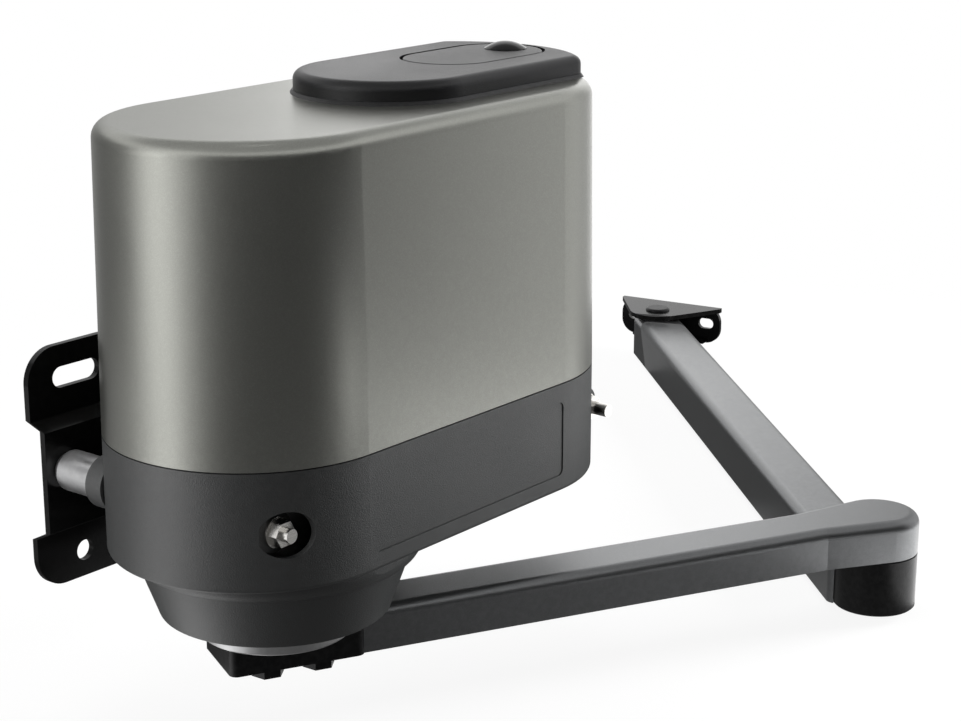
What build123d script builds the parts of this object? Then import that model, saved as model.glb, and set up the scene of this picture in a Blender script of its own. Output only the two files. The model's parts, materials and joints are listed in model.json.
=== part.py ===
from build123d import *
import os
from math import acos, asin, cos, pi, radians, sin, sqrt, tan

# Articulated arm gate opener. The origin is the centre of the wall bracket's
# mounting face. +Y points out of that face into the wall, +Z is up.

os.makedirs("parts", exist_ok=True)

# Housing outline in plan: two half circles joined by straight sides
body_radius = 85.0
body_straight = 175.0
body_gap = 122.0
left_x = -95.0
right_x = left_x + body_straight
body_y = -body_gap
body_mid_x = (left_x + right_x) / 2

# Heights of the housing
base_bottom = -30.0
seam_z = 37.5
cover_top = 211.5
cap_top = 224.5
shell_wall = 3.0
cover_wall = 2.5
seal_height = 0.8
seal_inset = 0.8
cover_draft = 0.75
cover_edge = 9.0
base_edge = 2.5

# Name recess on the front of the base, left bare
recess_left = -91.0
recess_right = 79.0
recess_bottom = -19.5
recess_top = 26.5
recess_depth = 0.6
recess_corner = 4.0

# Wall bracket
plate = 4.0
bracket_width = 316.0
bracket_top = 72.5
bracket_bottom = -72.5
bracket_corner = 20.0
joggle = 12.0
upper_fold = 31.5
lower_fold = -34.5
upper_fold_drop = 4.0
lower_fold_drop = 6.0
fold_shift = 0.5
fix_spacing = 245.0
slot_z = 53.0
slot_length = 35.0
slot_width = 12.5
hole_z = -56.5
hole_radius = 6.25

# Long mounting screws, one at each end of the body
stud_x = 143.0
stud_z = 2.5
stud_radius = 4.0
stud_hole = 4.5
stud_reach = 12.5
head_across = 13.0
head_height = 5.3
boss_radius = 12.0
boss_chamfer = 5.0
boss_chamfer_rise = 3.0
nut_flange_radius = 8.7
nut_flange = 2.0
nut_height = 8.0
pocket_radius = 13.0
left_pocket_depth = 10.1
right_pocket_depth = 3.1
left_seat_depth = 8.0
right_seat_depth = 24.0
left_collar_depth = 10.0
right_collar_depth = 15.0
collar_radius = 15.5
collar_reach = 2.5
boss_clearance = 1.0

# Output shaft, cone under the base and turning ring
out_x = -81.0
out_y = -120.0
cone_bottom = -73.5
cone_foot_radius = 66.6
cone_waist = -54.5
cone_waist_radius = 73.5
cone_neck = -42.0
cone_neck_radius = 78.0
cone_flare_radius = 86.0
cone_flare_arc = 12.0
cone_wall = 3.0
cone_inset = 1.5
cone_edge = 1.5
ring_gap = 0.3
ring_radius = 45.0
ring_height = 13.9
ring_chamfer = 0.8
hub_side_gap = 2.0
hub_rise = 1.6
neck_end_gap = 2.0
shaft_radius = 17.5
gear_seat_radius = 14.0
journal_radius = 12.0
shaft_top = 54.0
running_fit = 0.05
neck_radius = 31.0
bush_wall = 3.5
seal_radius = 25.0
seal_thick = 4.0
seal_gap = 1.6

# Gears
gear_module = 2.5
gear_teeth = 36
pinion_teeth = 15
pressure_angle = 20.0
backlash = 0.2
gear_z = -12.0
gear_width = 20.0
mesh_angle = -28.0
wheel_module = 2.0
wheel_teeth = 36
wheel_z = 15.0
wheel_width = 18.0
worm_pitch_radius = 9.0
worm_length = 46.0
thread_turns = 6
thread_root = 1.9
thread_tip = 0.9
thread_height = 3.6
idler_radius = 8.0
hub_radius = 14.0
idler_top = 74.0

# Gear casing
casing_wall = 5.0
worm_box_width = 36.0
worm_room = 13.0
worm_end_room = 7.0
flange_margin = 2.0
casing_top = 40.0
lid_thick = 5.0
gear_clearance = 2.0
platform_thick = 6.0
platform_depth = 48.0
web = 6.0

# Clutch and release
sleeve_radius = 13.0
sleeve_height = 12.0
sleeve_groove = 5.0
groove_radius = 10.0
clutch_gap = 0.5
hub_proud = 1.0
fork_thick = 4.0
fork_width = 9.0
guide_radius = 3.0
guide_distance = 24.0
guide_wall = 4.0
fork_reach = 6.0
fork_clearance = 0.4
rod_width = 6.0

# Motor
front_bearing_radius = 13.0
rear_bearing_radius = 10.0
tail_bearing_radius = 11.0
bearing_length = 7.0
tail_bearing_length = 6.5
bearing_gap = 0.3
motor_radius = 35.0
motor_start = 21.0
motor_length = 100.0
motor_wall = 2.5
magnet_thick = 5.0
armature_radius = 24.0
armature_length = 48.0
worm_shaft_radius = 5.0
commutator_radius = 12.0
brush_length = 12.0
brush_height = 6.0
brush_width = 9.0
commutator_length = 16.0
bell_depth = 12.0
bell_wall = 3.0
bell_floor = 2.0
bell_edge = 1.5
seat_wall = 4.0
slot_count = 12
slot_depth = 2.5
slot_mouth = 2.4
magnet_gap = 10.0
magnet_overhang = 2.0
armature_offset = 20.0

# Top cap and release lever
cap_left_radius = 57.0
cap_left_x = 21.0
cap_right_radius = 79.0
cap_corner = 10.0
cap_edge = 5.5
cap_wall = 3.0
cap_lip = 1.8
cap_lip_height = 2.0
cap_lip_taper = 35.0
lever_radius = 28.8
lever_gap = 1.6
lever_round = 1.5
lever_left_x = 77.0
lever_right_x = 120.0
lever_thick = 7.0
lever_seat_gap = 0.5
hinge_x = 54.0
hinge_drop = 3.0
hinge_radius = 1.6
hinge_pin_overhang = 3.0
lever_swing = 45.0
crank_length = 15.0
crank_angle = -60.0
crank_y = -127.0
lug_thick = 4.0
lug_end_radius = 3.5
crank_pin_radius = 1.6
crank_pin_length = 9.0
eye_clearance = 0.8
eye_wall = 1.2
barrel_step = 1.0
cam_thick = 2.0
cam_width = 5.0
key_length = 7.0
key_width = 1.5
key_depth = 4.0
face_gap = 0.3
cam_reach = 11.0
lock_x = 130.0
barrel_radius = 6.0
dome_radius = 13.0
dome_height = 4.2
dome_pivot_x = 120.5
dome_pivot_radius = 1.8

# Cable gland in the floor of the base
gland_from_end = 60.0
gland_side = 38.0
gland_radius = 8.0
gland_length = 12.0
gland_bore = 4.5
gland_hex = 11.0
gland_nut = 5.0
gland_inner_nut = 4.0

# Motor arm
motor_arm_angle = -26.9
motor_arm_length = 416.0
motor_arm_width = 41.0
motor_arm_height = 26.6
arm_drop = 5.1
tube_wall = 3.0
tube_round = 7.0
knuckle_radius = 27.0
root_length = 82.0
root_width = 51.0
root_shift = 5.0
root_rise = 1.0
root_round = 5.0
bolt_along = 15.5
bolt_across = 13.5
bolt_depth = 10.0
bolt_radius = 5.0
bolt_head_radius = 9.7
bolt_head = 6.0
bolt_flange = 1.2
bolt_head_across = 17.0

boss_blend = 50.0
pin_grip = 18.0
washer_recess = 7.0
washer_radius = 14.0

# Gate arm
gate_arm_angle = 46.87
gate_arm_width = 40.5
gate_arm_height = 37.0
gate_arm_gap = 1.0
gate_arm_offset = 10.0
pin_distance = 613.0
pin_radius = 8.0
gate_end = 14.0
end_round = 7.0
gate_plug = 24.0
elbow_bush_wall = 3.0
bevel_length = 3.0
bevel_height = 12.0

# Electrics above the motor
carrier_y = -64.0
carrier_thick = 2.0
carrier_left = -20.0
carrier_right = 122.0
carrier_top = 176.0
post_inset = 6.0
board_left = 30.0
board_right = 118.0
board_bottom = 76.0
board_top = 168.0
board_thick = 1.6
board_gap = 6.0
spacer_radius = 3.0
terminal_width = 60.0
terminal_depth = 12.0
terminal_height = 14.0
coil_x = 0.0
coil_z = 118.0
coil_radius = 27.0
coil_depth = 34.0
coil_hole = 9.0

# Limit switches over the output shaft
cam_radius = 19.0
cam_thick = 5.0
cam_step = 2.0
switch_length = 20.0
switch_depth = 8.0
switch_height = 10.0

# Gate bracket
gate_plate = 4.0
gate_nose_radius = 25.5
gate_plate_width = 100.0
gate_plate_height = 34.0
gate_plate_reach = 34.0
gate_normal_angle = 9.8
gate_top_gap = 2.0
gate_corner = 14.0
pin_tail = 4.5
clip_rim = 4.0
washer_rim = 6.0
clip_groove_radius = 6.5
gate_slot_spacing = 72.0
gate_slot_length = 15.0
gate_slot_width = 9.5
gate_slot_z = -116.0
gate_lip = 6.0
pin_head_radius = 11.0
pin_head_height = 2.5
clip_thick = 1.5

def arm_plane(angle, x, y, z):
    """A plane at a pivot, with its x axis along an arm."""
    along = (cos(radians(angle)), sin(radians(angle)), 0)
    return Plane(origin=(x, y, z), x_dir=along, z_dir=(0, 0, 1))


def along_arm(angle, x, y, distance, side):
    """A point measured along and to the left of an arm."""
    a = radians(angle)
    return (x + distance * cos(a) - side * sin(a), y + distance * sin(a) + side * cos(a))


def wall_half(x):
    """Half the depth of the housing at a place along it."""
    beyond = max(x - right_x, left_x - x, 0.0)
    return sqrt(body_radius**2 - beyond**2)


# Derived places
left_seat_y = body_y - wall_half(-stud_x) + left_pocket_depth
right_seat_y = body_y - wall_half(stud_x) + right_pocket_depth
left_boss_y = left_seat_y + left_seat_depth
right_boss_y = right_seat_y + right_seat_depth
left_wall_y = body_y + wall_half(-stud_x)
right_wall_y = body_y + wall_half(stud_x)
stud_tip_y = left_seat_y - stud_reach
gland_x = right_x + body_radius - gland_from_end
gland_y = body_y - gland_side
root_start = root_shift + root_length / 2
ring_top = cone_bottom - ring_gap
ring_bottom = ring_top - ring_height
arm_top = ring_top - arm_drop
arm_bottom = arm_top - motor_arm_height
gate_top = arm_bottom - gate_arm_gap
gate_bottom = gate_top - gate_arm_height
gear_pitch = gear_module * gear_teeth / 2
pinion_pitch = gear_module * pinion_teeth / 2
wheel_pitch = wheel_module * wheel_teeth / 2
idler_x = out_x + (gear_pitch + pinion_pitch) * cos(radians(mesh_angle))
idler_y = out_y + (gear_pitch + pinion_pitch) * sin(radians(mesh_angle))
worm_y = idler_y + wheel_pitch + worm_pitch_radius
worm_z = wheel_z + wheel_width / 2
lid_top = casing_top + lid_thick
floor_z = base_bottom + shell_wall
gear_tip = gear_pitch + gear_module
wheel_tip = wheel_pitch + wheel_module
gear_room = gear_tip + gear_clearance
wheel_room = wheel_tip + gear_clearance
hinge_z = cap_top - hinge_drop
bracket_front = -plate - joggle
lever_bottom = cap_top - lever_thick
recess_floor = lever_bottom - lever_seat_gap
sleeve_z = lid_top + hub_proud + clutch_gap

lever_end_half = sqrt(lever_radius**2 - (lever_left_x - hinge_x)**2)
hinge_pin_length = 2 * lever_end_half + 2 * hinge_pin_overhang
crank_x = hinge_x + crank_length * cos(radians(crank_angle))
crank_z = hinge_z + crank_length * sin(radians(crank_angle))

cam_top = recess_floor - cover_wall - 1.0
hub_top = cone_bottom + hub_rise
journal_length = 20.0
lid_screw_radius = 1.5
lid_screw_head = 2.7
lid_screw_head_height = 3.0
lid_screw_places = [
    along_arm(angle, x, y, radius + casing_wall / 2, 0)
    for x, y, radius, angles in (
        (out_x, out_y, gear_room, (100, 160, 220)),
        (idler_x, idler_y, wheel_room, (250, 300, 350)),
    )
    for angle in angles
]
guide_x = idler_x + guide_distance
guide_y = idler_y
guide_height = 32.0

carrier_foot = floor_z
spacer_places = [
    (x, z)
    for x in (board_left + post_inset, board_right - post_inset)
    for z in (board_bottom + post_inset, board_top - post_inset)
]

elbow_x = out_x + motor_arm_length * cos(radians(motor_arm_angle))
elbow_y = out_y + motor_arm_length * sin(radians(motor_arm_angle))
pin_along = sqrt(pin_distance**2 - gate_arm_offset**2)


pin_x, pin_y = along_arm(gate_arm_angle, elbow_x, elbow_y, pin_along, gate_arm_offset)


def involute_points(module, teeth, side, steps=3):
    """Points of one flank of a spur gear tooth, root to tip."""
    pitch = module * teeth / 2
    base = pitch * cos(radians(pressure_angle))
    tip = pitch + module
    root = pitch - 1.25 * module
    phase = tan(radians(pressure_angle)) - radians(pressure_angle)
    half = pi / (2 * teeth) - backlash / (2 * pitch) + phase
    start = max(root, base)
    points = []
    if root < base:
        points.append((root * cos(side * half), root * sin(side * half)))
    for step in range(steps + 1):
        r = start + (tip - start) * step / steps
        turn = acos(min(1.0, base / r))
        angle = side * (half - (tan(turn) - turn))
        points.append((r * cos(angle), r * sin(angle)))
    return points


def stadium(radius):
    """The housing outline, drawn in the current sketch."""
    with Locations((body_mid_x, body_y)):
        SlotCenterToCenter(body_straight, 2 * radius)


def tooth_outline(module, teeth):
    """One tooth of a spur gear, drawn in the current sketch."""
    lower = involute_points(module, teeth, -1)
    upper = involute_points(module, teeth, 1)
    inner = (module * teeth / 2 - 2 * module) * cos(pi / teeth)
    with BuildLine() as outline:
        Polyline((inner, lower[0][1]), *lower, *reversed(upper), (inner, upper[0][1]), close=True)
    make_face(outline.edges())


# One tooth of each spur gear, about its own centre
with BuildSketch() as gear_tooth:
    tooth_outline(gear_module, gear_teeth)

with BuildSketch() as pinion_tooth:
    tooth_outline(gear_module, pinion_teeth)

# Wall bracket: one bent plate with a joggled middle
with BuildPart() as wall_bracket:
    with BuildSketch(Plane.YZ):
        with BuildLine():
            Polyline(
                (0, bracket_top),
                (0, upper_fold),
                (-joggle, upper_fold - upper_fold_drop),
                (-joggle, lower_fold),
                (0, lower_fold - lower_fold_drop),
                (0, bracket_bottom),
                (-plate, bracket_bottom),
                (-plate, lower_fold - lower_fold_drop + fold_shift),
                (-joggle - plate, lower_fold + fold_shift),
                (-joggle - plate, upper_fold - upper_fold_drop - fold_shift),
                (-plate, upper_fold - fold_shift),
                (-plate, bracket_top),
                close=True,
            )
        make_face()
    extrude(amount=bracket_width / 2, both=True)
    corner_edges = wall_bracket.edges().filter_by(Axis.Y).group_by(Axis.Z)
    fillet(corner_edges[0] + corner_edges[-1], bracket_corner)
    with BuildSketch(Plane.XZ.offset(-1)):
        with Locations((-fix_spacing / 2, slot_z), (fix_spacing / 2, slot_z)):
            SlotOverall(slot_length, slot_width)
        with Locations((-fix_spacing / 2, hole_z), (fix_spacing / 2, hole_z)):
            Circle(hole_radius)
        with Locations((-stud_x, stud_z), (stud_x, stud_z)):
            Circle(stud_hole)
    extrude(amount=joggle + 2 * plate, mode=Mode.SUBTRACT)

wall_bracket.part.label = "wall_bracket"
export_step(wall_bracket.part, "parts/wall_bracket.step")

# Long screws that clamp the opener to the bracket
with BuildPart() as mounting_screws:
    with BuildSketch(Plane.XZ.offset(joggle)):
        with Locations((-stud_x, stud_z), (stud_x, stud_z)):
            Circle(stud_radius)
    extrude(amount=-stud_tip_y - joggle)
    with BuildSketch(Plane.XZ.offset(joggle)):
        with Locations((-stud_x, stud_z), (stud_x, stud_z)):
            RegularPolygon(head_across / 2, 6, major_radius=False)
    extrude(amount=-head_height)

mounting_screws.part.label = "mounting_screws"
export_step(mounting_screws.part, "parts/mounting_screws.step")

# Flange nuts on the front of the screws
with BuildPart() as flange_nuts:
    for x, seat in ((-stud_x, left_seat_y), (stud_x, right_seat_y)):
        with BuildSketch(Plane.XZ.offset(-seat)):
            with Locations((x, stud_z)):
                Circle(nut_flange_radius)
        extrude(amount=nut_flange)
        with BuildSketch(Plane.XZ.offset(-seat)):
            with Locations((x, stud_z)):
                RegularPolygon(head_across / 2, 6, major_radius=False)
        extrude(amount=nut_height)
        with BuildSketch(Plane.XZ.offset(-seat)):
            with Locations((x, stud_z)):
                Circle(stud_radius)
        extrude(amount=nut_height, mode=Mode.SUBTRACT)

flange_nuts.part.label = "flange_nuts"
export_step(flange_nuts.part, "parts/flange_nuts.step")

# Cast gear casing with its output neck, motor platform and mounting bosses
with BuildPart() as gear_casing:
    with BuildSketch(Plane.XY.offset(floor_z)):
        with Locations((out_x, out_y)):
            Circle(gear_room + casing_wall)
        with Locations((idler_x, idler_y)):
            Circle(wheel_room + casing_wall)
        with Locations(((out_x + motor_start) / 2, worm_y)):
            Rectangle(motor_start - out_x, worm_box_width)
    extrude(amount=casing_top - floor_z)
    with BuildSketch(Plane.XY.offset(floor_z)):
        with Locations((0, worm_y)):
            Rectangle(2 * stud_x, platform_depth)
    extrude(amount=platform_thick)
    for x, boss_start in ((-stud_x, left_boss_y), (stud_x, right_boss_y)):
        with BuildSketch(Plane.XZ.offset(-boss_start)):
            with Locations((x, stud_z)):
                Circle(boss_radius)
        extrude(amount=-(bracket_front - boss_start))
        with BuildSketch(Plane.XY.offset(floor_z)):
            with Locations((x, worm_y)):
                Rectangle(web, platform_depth)
        extrude(amount=stud_z - floor_z)
    boss_tips = gear_casing.faces().filter_by(Plane.XZ).group_by(Axis.Y)[-1].edges()
    chamfer(boss_tips, boss_chamfer, boss_chamfer_rise)
    with BuildSketch(Plane.XY.offset(floor_z)):
        with Locations((out_x, out_y)):
            Circle(neck_radius)
    extrude(amount=-(floor_z - cone_bottom - neck_end_gap))
    with BuildSketch(Plane.YZ.offset(motor_start)):
        with Locations((worm_y, worm_z)):
            Circle(motor_radius + flange_margin)
    extrude(amount=-platform_thick)
    with BuildSketch(Plane.XY.offset(gear_z - gear_clearance)):
        with Locations((out_x, out_y)):
            Circle(gear_room)
        with Locations((idler_x, idler_y)):
            Circle(wheel_room)
    extrude(amount=casing_top - gear_z + gear_clearance, mode=Mode.SUBTRACT)
    with BuildSketch(Plane.XY.offset(worm_z - worm_room)):
        with Locations((idler_x, worm_y)):
            Rectangle(worm_length + 2 * worm_end_room, 2 * worm_room)
    extrude(amount=casing_top - worm_z + worm_room, mode=Mode.SUBTRACT)
    with BuildSketch(Plane.YZ.offset(motor_start)):
        with Locations((worm_y, worm_z)):
            Circle(front_bearing_radius)
    extrude(amount=-(motor_start - idler_x), mode=Mode.SUBTRACT)
    with BuildSketch(Plane.XY.offset(cone_bottom)):
        with Locations((out_x, out_y)):
            Circle(shaft_radius + bush_wall)
    extrude(amount=gear_z - cone_bottom, mode=Mode.SUBTRACT)
    with BuildSketch(Plane.XY.offset(cone_bottom)):
        with Locations((out_x, out_y)):
            Circle(seal_radius)
    extrude(amount=neck_end_gap + seal_thick, mode=Mode.SUBTRACT)
    with BuildSketch(Plane.XY.offset(floor_z)):
        with Locations((idler_x, idler_y)):
            Circle(idler_radius + bush_wall)
    extrude(amount=gear_z - floor_z, mode=Mode.SUBTRACT)
    with BuildSketch(Plane.XZ.offset(-bracket_front - 1)):
        with Locations((-stud_x, stud_z), (stud_x, stud_z)):
            Circle(stud_hole)
    extrude(amount=-left_seat_y, mode=Mode.SUBTRACT)

gear_casing.part.label = "gear_casing"
export_step(gear_casing.part, "parts/gear_casing.step")

# Base shell with the cone that closes round the output shaft
with BuildPart() as cone_blank:
    with BuildSketch(Plane.XZ):
        with BuildLine():
            Polyline((0, floor_z), (0, cone_bottom), (cone_foot_radius, cone_bottom),
                     (cone_waist_radius, cone_waist))
            Line((cone_waist_radius, cone_waist), (cone_neck_radius, cone_neck))
            RadiusArc((cone_neck_radius, cone_neck), (cone_flare_radius, base_bottom), -cone_flare_arc)
            Polyline((cone_flare_radius, base_bottom), (cone_flare_radius, floor_z), (0, floor_z))
        make_face()
    revolve(axis=Axis.Z)
    fillet(cone_blank.edges().filter_by(GeomType.CIRCLE).sort_by(Axis.Z)[0], cone_edge)

cone_place = Location((out_x, out_y, 0))
cone_solid = cone_place * cone_blank.part

with BuildPart() as footprint:
    with BuildSketch(Plane.XY.offset(cone_bottom)):
        stadium(body_radius - cone_inset)
    extrude(amount=seam_z - cone_bottom)

with BuildPart() as upper_blank:
    with BuildSketch(Plane.XY.offset(base_bottom)):
        stadium(body_radius)
    extrude(amount=seam_z - base_bottom)
    fillet(upper_blank.faces().sort_by(Axis.Z)[0].edges(), base_edge)

with BuildPart() as base_shell:
    add(cone_solid)
    add(footprint.part, mode=Mode.INTERSECT)
    add(upper_blank.part)
    with BuildSketch(Plane.XY.offset(floor_z)):
        stadium(body_radius - shell_wall)
    extrude(amount=seam_z - floor_z, mode=Mode.SUBTRACT)
    with BuildSketch(Plane.XY.offset(cone_bottom + cone_wall)):
        with Locations((out_x, out_y)):
            Circle(cone_foot_radius - cone_wall)
    extrude(amount=floor_z - cone_bottom - cone_wall, mode=Mode.SUBTRACT)
    with BuildSketch(Plane.XY.offset(cone_bottom)):
        with Locations((out_x, out_y)):
            Circle(neck_radius + ring_gap)
    extrude(amount=cone_wall, mode=Mode.SUBTRACT)
    for x, seat, boss in ((-stud_x, left_seat_y, left_boss_y), (stud_x, right_seat_y, right_boss_y)):
        with BuildSketch(Plane.XZ.offset(-boss)):
            with Locations((x, stud_z)):
                Circle(boss_radius)
        extrude(amount=boss - seat)
    for x, wall_y, depth in (
        (-stud_x, left_wall_y, left_collar_depth),
        (stud_x, right_wall_y, right_collar_depth),
    ):
        with BuildSketch(Plane.XZ.offset(-wall_y - collar_reach)):
            with Locations((x, stud_z)):
                Circle(collar_radius)
        extrude(amount=depth + collar_reach)
    for x, seat, boss in ((-stud_x, left_seat_y, left_boss_y), (stud_x, right_seat_y, right_boss_y)):
        with BuildSketch(Plane.XZ.offset(-seat)):
            with Locations((x, stud_z)):
                Circle(pocket_radius)
        extrude(amount=seat + body_gap + body_radius, mode=Mode.SUBTRACT)
        with BuildSketch(Plane.XZ.offset(-seat)):
            with Locations((x, stud_z)):
                Circle(stud_hole)
        extrude(amount=-(boss - seat), mode=Mode.SUBTRACT)
        with BuildSketch(Plane.XZ.offset(-boss)):
            with Locations((x, stud_z)):
                Circle(boss_radius + boss_clearance)
        extrude(amount=boss, mode=Mode.SUBTRACT)
    with BuildSketch(Plane.XZ.offset(body_gap + body_radius - recess_depth)):
        with Locations(((recess_left + recess_right) / 2, (recess_bottom + recess_top) / 2)):
            RectangleRounded(recess_right - recess_left, recess_top - recess_bottom, recess_corner)
    extrude(amount=recess_depth, mode=Mode.SUBTRACT)
    with BuildSketch(Plane.XY.offset(base_bottom)):
        with Locations((gland_x, gland_y)):
            Circle(gland_radius)
    extrude(amount=shell_wall, mode=Mode.SUBTRACT)

base_shell.part.label = "base_shell"
export_step(base_shell.part, "parts/base_shell.step")

# Rubber seal in the joint between base and cover
with BuildPart() as cover_seal:
    with BuildSketch(Plane.XY.offset(seam_z)):
        stadium(body_radius - seal_inset)
        with Locations((body_mid_x, body_y)):
            SlotCenterToCenter(body_straight, 2 * (body_radius - shell_wall), mode=Mode.SUBTRACT)
    extrude(amount=seal_height)

cover_seal.part.label = "cover_seal"
export_step(cover_seal.part, "parts/cover_seal.step")

# Cover, drawn in towards the top as a moulding is
cover_bottom = seam_z + seal_height
cover_height = cover_top - cover_bottom

with BuildPart() as cover_core:
    with BuildSketch(Plane.XY.offset(cover_bottom)):
        stadium(body_radius - cover_wall)
    extrude(amount=cover_height - cover_wall, taper=cover_draft)
    fillet(cover_core.faces().sort_by(Axis.Z)[-1].edges(), cover_edge - cover_wall)

with BuildPart() as cover:
    with BuildSketch(Plane.XY.offset(cover_bottom)):
        stadium(body_radius)
    extrude(amount=cover_height, taper=cover_draft)
    fillet(cover.faces().sort_by(Axis.Z)[-1].edges(), cover_edge)
    add(cover_core.part, mode=Mode.SUBTRACT)
    with BuildSketch(Plane.XY.offset(cover_top)):
        with Locations(((lever_left_x + lever_right_x) / 2, body_y)):
            SlotCenterToCenter(lever_right_x - lever_left_x, 2 * lever_radius)
    extrude(amount=-cover_wall, mode=Mode.SUBTRACT)

cover.part.label = "cover"
export_step(cover.part, "parts/cover.step")

# Top cap with the flush recess for the release lever


def cap_outline(inset):
    """The cap's outline, drawn in the current sketch."""
    reach = cap_right_radius - inset
    half = cap_left_radius - inset
    with Locations((right_x, body_y)):
        Circle(reach)
    with Locations((right_x + reach, body_y)):
        Rectangle(2 * reach, 2 * half, mode=Mode.INTERSECT)
    with Locations(((cap_left_x + right_x + half / 2) / 2, body_y)):
        Rectangle(right_x + half / 2 - cap_left_x, 2 * half)
    with Locations((cap_left_x, body_y)):
        Circle(half)


def lever_outline(radius):
    """The oblong outline of the lever or its recess, drawn in the current sketch."""
    with Locations(((lever_left_x + lever_right_x) / 2, body_y)):
        SlotCenterToCenter(lever_right_x - lever_left_x, 2 * radius)


with BuildPart() as cap_core:
    with BuildSketch(Plane.XY.offset(cover_top)):
        cap_outline(cap_wall + cap_lip)
    extrude(amount=cap_top - cover_top - cap_wall)
    with BuildSketch(Plane.XY.offset(recess_floor - cover_wall)):
        lever_outline(lever_radius + lever_gap + cover_wall)
    extrude(amount=cap_top - recess_floor, mode=Mode.SUBTRACT)

with BuildPart() as top_cap:
    with BuildSketch(Plane.XY.offset(cover_top)) as cap_body:
        cap_outline(cap_lip)
        fillet(cap_body.vertices().group_by(Axis.X)[-1], cap_corner)
    extrude(amount=cap_top - cover_top)
    fillet(top_cap.faces().sort_by(Axis.Z)[-1].edges(), cap_edge)
    with BuildSketch(Plane.XY.offset(cover_top)) as cap_foot:
        cap_outline(0)
        fillet(cap_foot.vertices().group_by(Axis.X)[-1], cap_corner + cap_lip)
    extrude(amount=cap_lip_height, taper=cap_lip_taper)
    add(cap_core.part, mode=Mode.SUBTRACT)
    with BuildSketch(Plane.XY.offset(recess_floor)):
        lever_outline(lever_radius + lever_gap)
    extrude(amount=cap_top - recess_floor, mode=Mode.SUBTRACT)
    with BuildSketch(Plane.XZ.offset(body_gap - hinge_pin_length / 2)):
        with Locations((hinge_x, hinge_z)):
            Circle(hinge_radius)
    extrude(amount=hinge_pin_length, mode=Mode.SUBTRACT)
    with BuildSketch(Plane.XY.offset(cover_top)):
        with Locations((hinge_x + 5, body_y)):
            Rectangle(30, 2 * lever_end_half + 1)
        with Locations((lock_x, body_y)):
            Circle(barrel_radius + 2)
            Rectangle(2 * cam_reach + 3, 7)
    extrude(amount=recess_floor - cover_top, mode=Mode.SUBTRACT)

top_cap.part.label = "top_cap"
export_step(top_cap.part, "parts/top_cap.step")

# Release lever: a flush oblong flap with a crank lug under its hinged end
with BuildPart() as release_lever:
    with BuildSketch(Plane.XY.offset(lever_bottom)):
        lever_outline(lever_radius)
    extrude(amount=lever_thick)
    fillet(release_lever.faces().sort_by(Axis.Z)[-1].edges(), lever_round)
    with BuildSketch(Plane.XZ.offset(-crank_y - lug_thick / 2)):
        with Locations((hinge_x, hinge_z)):
            Circle(hinge_drop)
        with Locations((crank_x, crank_z)):
            Circle(lug_end_radius)
        make_hull()
    extrude(amount=lug_thick)
    with BuildSketch(Plane.XZ.offset(-crank_y - lug_thick / 2)):
        with Locations((crank_x, crank_z)):
            Circle(crank_pin_radius)
    extrude(amount=crank_pin_length)
    with BuildSketch(Plane.XZ.offset(body_gap - 40)):
        with Locations((hinge_x, hinge_z)):
            Circle(hinge_radius + running_fit)
    extrude(amount=80, mode=Mode.SUBTRACT)
    with BuildSketch(Plane.XY.offset(lever_bottom)):
        with Locations((lock_x, body_y)):
            Circle(barrel_radius + running_fit)
        with Locations((dome_pivot_x, body_y)):
            Circle(dome_pivot_radius + running_fit)
    extrude(amount=lever_thick, mode=Mode.SUBTRACT)

release_lever.part.label = "release_lever"
export_step(release_lever.part, "parts/release_lever.step")

# Hinge pin of the release lever, pressed into the cap
with BuildPart() as lever_pin:
    with BuildSketch(Plane.XZ.offset(body_gap - hinge_pin_length / 2)):
        with Locations((hinge_x, hinge_z)):
            Circle(hinge_radius)
    extrude(amount=hinge_pin_length)

lever_pin.part.label = "lever_pin"
export_step(lever_pin.part, "parts/lever_pin.step")

# Lock barrel with its cam under the recess floor
with BuildPart() as lock_barrel:
    with BuildSketch(Plane.XY.offset(cap_top - face_gap)):
        with Locations((lock_x, body_y)):
            Circle(barrel_radius)
    extrude(amount=-(cap_top - face_gap - cam_top))
    with BuildSketch(Plane.XY.offset(cam_top)):
        with Locations((lock_x - cam_reach / 2, body_y)):
            Rectangle(cam_reach, cam_width)
        with Locations((lock_x, body_y)):
            Circle(barrel_radius - barrel_step)
    extrude(amount=-cam_thick)
    with BuildSketch(Plane.XY.offset(cap_top - face_gap)):
        with Locations((lock_x, body_y)):
            Rectangle(key_length, key_width)
    extrude(amount=-key_depth, mode=Mode.SUBTRACT)

lock_barrel.part.label = "lock_barrel"
export_step(lock_barrel.part, "parts/lock_barrel.step")

# Dome that swings aside to bare the lock
dome_base = cap_top + 0.3
dome_sphere = (dome_radius**2 + dome_height**2) / (2 * dome_height)

with BuildPart() as lock_dome:
    with BuildSketch(Plane.XZ):
        with BuildLine():
            Line((0, 0), (dome_radius, 0))
            RadiusArc((dome_radius, 0), (0, dome_height), -dome_sphere)
            Line((0, dome_height), (0, 0))
        make_face()
    revolve(axis=Axis.Z)

with BuildPart() as lock_dome_placed:
    with Locations((lock_x, body_y, dome_base)):
        add(lock_dome.part)
    with BuildSketch(Plane.XY.offset(dome_base)):
        with Locations((dome_pivot_x, body_y)):
            Circle(dome_pivot_radius)
    extrude(amount=-(lever_thick - 1))

lock_dome_placed.part.label = "lock_dome"
export_step(lock_dome_placed.part, "parts/lock_dome.step")

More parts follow.
